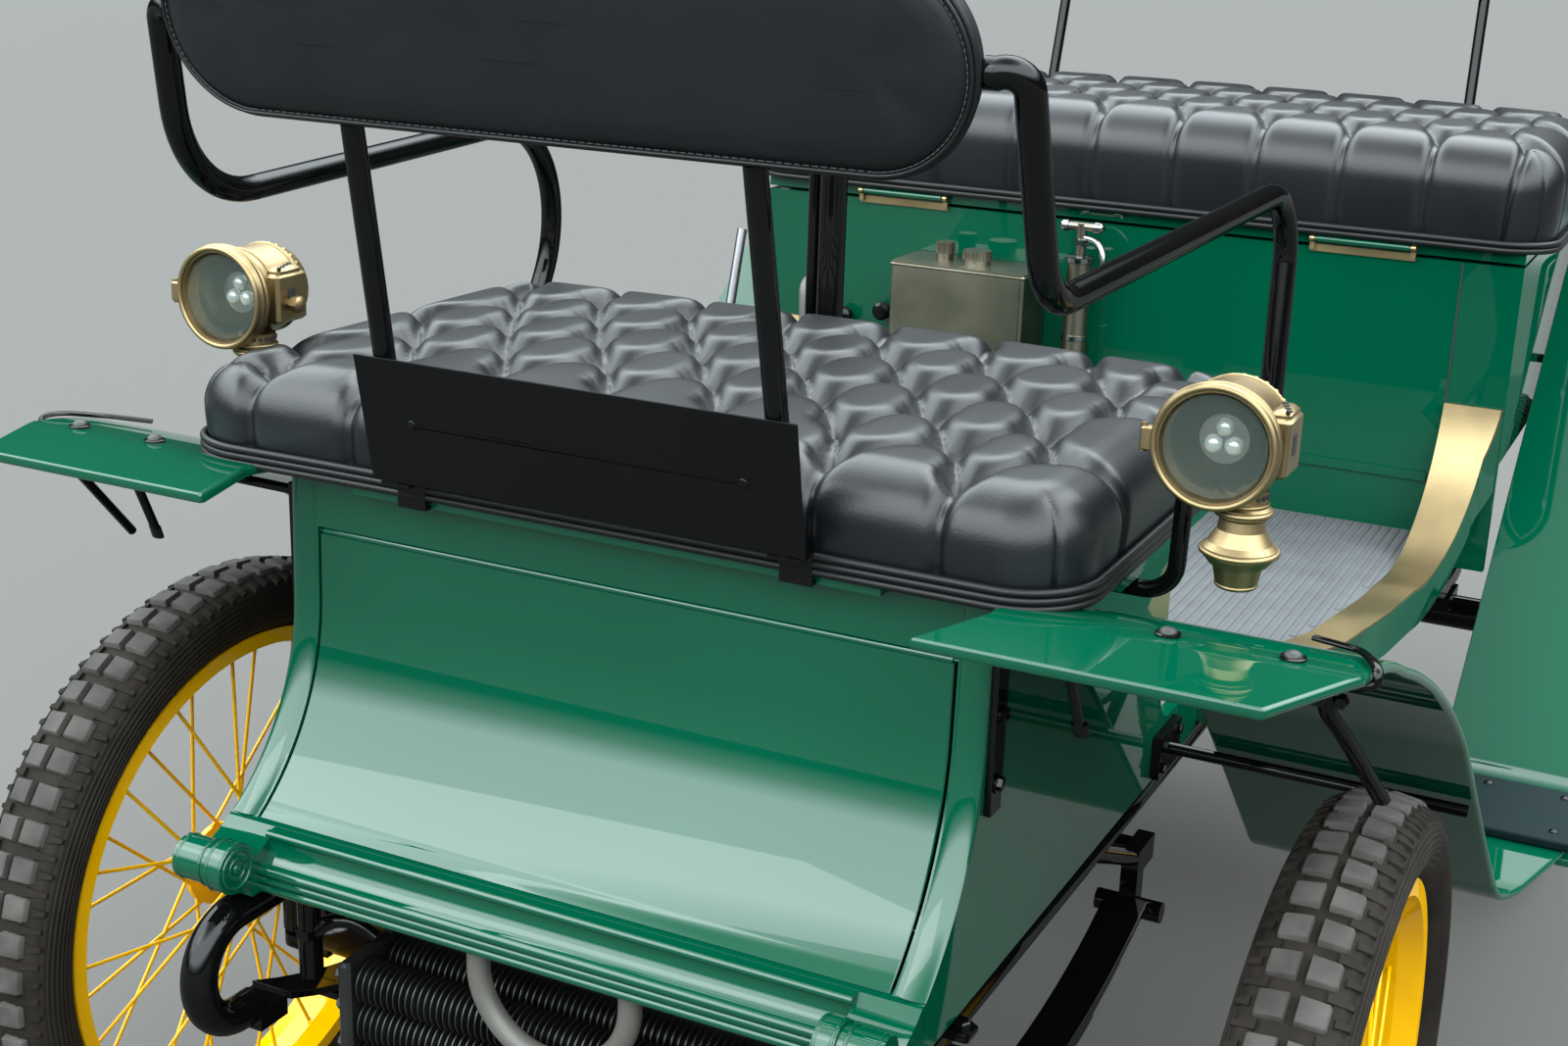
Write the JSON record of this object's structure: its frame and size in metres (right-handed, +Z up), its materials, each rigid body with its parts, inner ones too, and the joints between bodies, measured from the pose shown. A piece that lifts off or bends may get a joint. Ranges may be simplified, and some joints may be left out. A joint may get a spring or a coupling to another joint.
{
  "type": "brass era car",
  "caption": "Light open car of about 1900 with face-to-face bench seats, curved-front body, flowing fenders, wire wheels, lamps and a column with a handlebar.",
  "frame": {"origin": "centre of the car's box at ground level, under the floor between the seats", "axes": "+Z up, the car faces -Y, +X is its left side"},
  "size_m": [1.408, 2.342, 1.4161],
  "materials": {
    "black_enamel": "gloss black enamel",
    "brass": "polished brass",
    "glass": "clear lens glass",
    "green_paint": "gloss coach enamel",
    "iron": "dark cast iron",
    "leather": "black leather",
    "mat": "grey ribbed mat",
    "nickel": "dull nickel plate",
    "steel": "bright steel",
    "step_black": "satin black",
    "tyre": "matt black rubber with block tread",
    "yellow_paint": "gloss yellow enamel"
  },
  "bodies": {
    "root": {"body_sills": "green_paint", "coolant_pipe": "iron", "engine": "iron", "fender_stays": "black_enamel", "floor": "mat", "floor_controls": "steel", "frame": "black_enamel", "front_axle": "black_enamel", "front_backrest": "leather", "front_body_panels": "green_paint", "front_cushion": "leather", "front_fenders": "green_paint", "front_seat_frame": "green_paint", "front_seat_irons": "black_enamel", "fuel_tank": "nickel", "lamp_glasses": "glass", "lamps": "brass", "lid_hinges": "brass", "number_plate": "black_enamel", "oil_pump": "nickel", "radiator": "black_enamel", "rear_axle": "black_enamel", "rear_backrest": "leather", "rear_body_panels": "green_paint", "rear_fenders": "green_paint", "rear_seat_irons": "black_enamel", "sill_caps": "brass", "springs": "black_enamel", "steering_column": "black_enamel", "steps": "step_black"},
    "knuckle_left": {"knuckle_left": "black_enamel"},
    "knuckle_right": {"knuckle_right": "black_enamel"},
    "tie_rod": {"tie_rod": "steel"},
    "handlebar": {"handlebar": "steel"},
    "front_door": {"front_door": "green_paint"},
    "rear_seat_lid": {"rear_seat_lid": "green_paint", "rear_cushion": "leather"},
    "wheel_front_left": {"wheel_front_left": "yellow_paint", "tyre_front_left": "tyre"},
    "wheel_front_right": {"wheel_front_right": "yellow_paint", "tyre_front_right": "tyre"},
    "wheel_rear_left": {"wheel_rear_left": "yellow_paint", "tyre_rear_left": "tyre"},
    "wheel_rear_right": {"wheel_rear_right": "yellow_paint", "tyre_rear_right": "tyre"}
  },
  "joints": [
    {"name": "steer_left", "type": "hinge", "parent": "root", "child": "knuckle_left", "pos_m": [0.5, -0.784, 0.343], "axis": [0, 0, 1], "range_deg": [-28, 28]},
    {"name": "steer_right", "type": "hinge", "parent": "root", "child": "knuckle_right", "pos_m": [-0.5, -0.784, 0.343], "axis": [0, 0, 1], "range_deg": [-28, 28]},
    {"name": "tie_rod_swing", "type": "hinge", "parent": "knuckle_left", "child": "tie_rod", "pos_m": [0.5, -0.674, 0.3], "axis": [0, 0, 1], "range_deg": [-28, 28]},
    {"name": "handlebar_turn", "type": "hinge", "parent": "root", "child": "handlebar", "pos_m": [-0.065, -0.439, 1], "axis": [0, 0, 1], "range_deg": [-28, 28]},
    {"name": "front_door_hinge", "type": "hinge", "parent": "root", "child": "front_door", "pos_m": [0, -0.968, 0.827], "axis": [-1, 0, 0], "range_deg": [0, 60]},
    {"name": "rear_seat_lid_hinge", "type": "hinge", "parent": "root", "child": "rear_seat_lid", "pos_m": [0, 0.307, 0.964], "axis": [1, 0, 0], "range_deg": [0, 80]},
    {"name": "spin_front_left", "type": "hinge", "parent": "knuckle_left", "child": "wheel_front_left", "pos_m": [0.5815, -0.784, 0.343], "axis": [1, 0, 0], "continuous": true},
    {"name": "spin_front_right", "type": "hinge", "parent": "knuckle_right", "child": "wheel_front_right", "pos_m": [-0.5815, -0.784, 0.343], "axis": [1, 0, 0], "continuous": true},
    {"name": "spin_rear_left", "type": "hinge", "parent": "root", "child": "wheel_rear_left", "pos_m": [0.5815, 0.786, 0.343], "axis": [1, 0, 0], "continuous": true},
    {"name": "spin_rear_right", "type": "hinge", "parent": "root", "child": "wheel_rear_right", "pos_m": [-0.5815, 0.786, 0.343], "axis": [1, 0, 0], "continuous": true}
  ],
  "couplings": [
    {"joint": "steer_right", "follows": "steer_left", "ratio": 1},
    {"joint": "tie_rod_swing", "follows": "steer_left", "ratio": -1},
    {"joint": "handlebar_turn", "follows": "steer_left", "ratio": 1}
  ]
}
